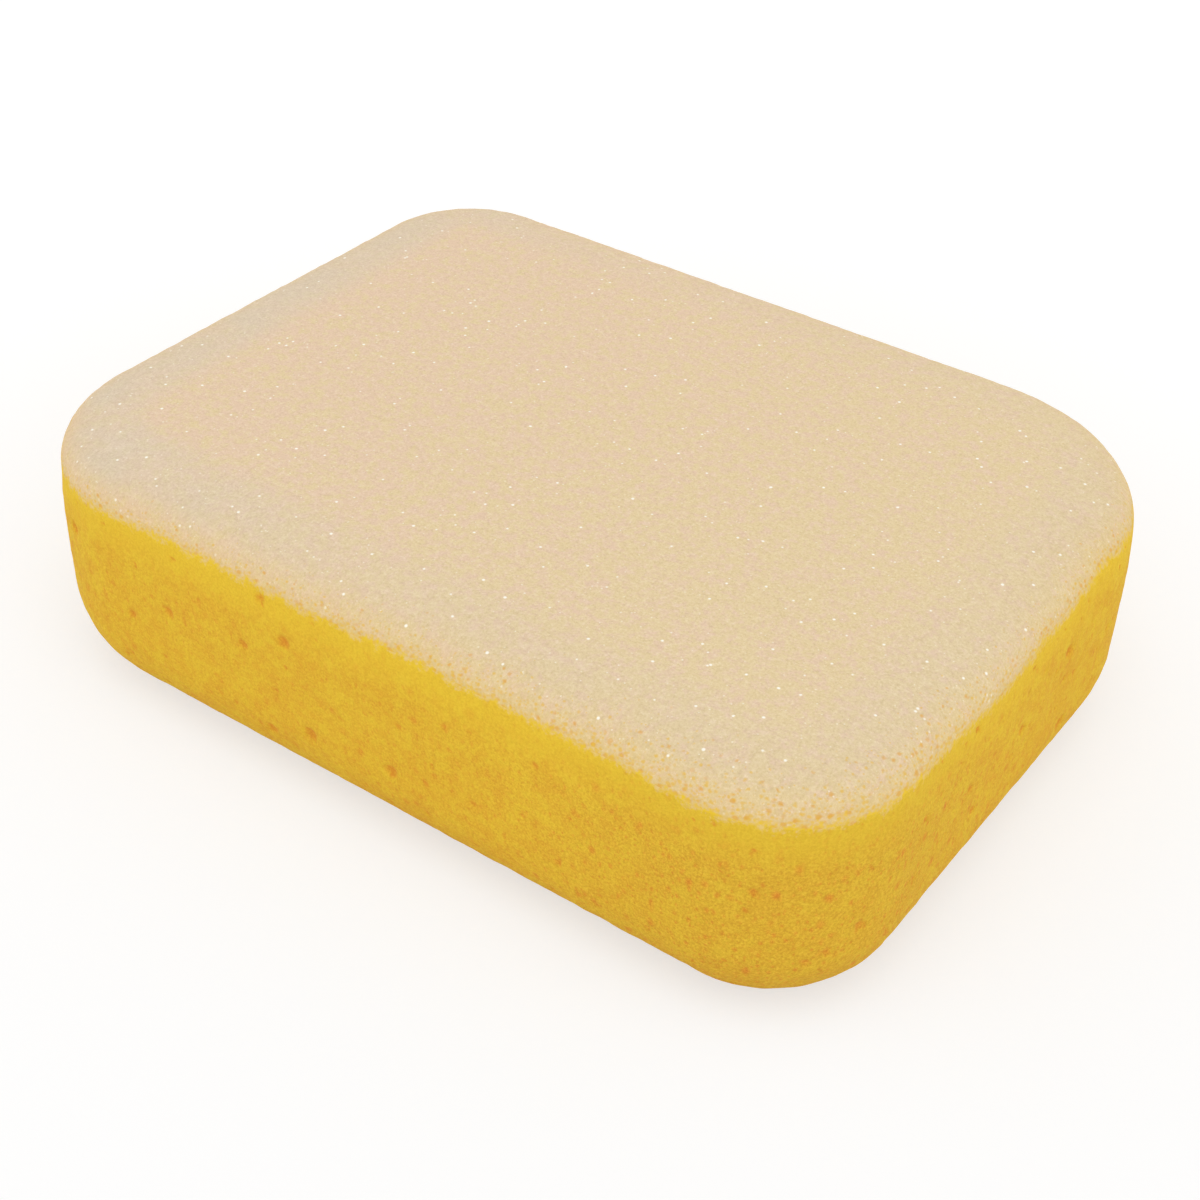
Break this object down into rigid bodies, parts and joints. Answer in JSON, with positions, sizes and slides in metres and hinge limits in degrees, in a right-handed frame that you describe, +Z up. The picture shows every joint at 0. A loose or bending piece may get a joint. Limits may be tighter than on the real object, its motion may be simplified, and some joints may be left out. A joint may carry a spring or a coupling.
{
  "type": "cleaning sponge",
  "caption": "Rounded block of absorbent foam with a coarser scrub layer bonded flat on top, for wiping and scrubbing surfaces by hand.",
  "frame": {"origin": "middle of the outline at the height of the flat base", "axes": "+Z up through the scrub layer, +X along the length, +Y across the width to the back"},
  "size_m": [0.19, 0.144, 0.052],
  "materials": {
    "absorbent_foam": "matt open-cell foam, warm yellow, with darker orange pores",
    "scrub_foam": "matt open-cell foam, creamy off-white, fine even grain"
  },
  "bodies": {
    "root": {"sponge_body": "absorbent_foam", "scrub_layer": "scrub_foam"}
  },
  "joints": []
}
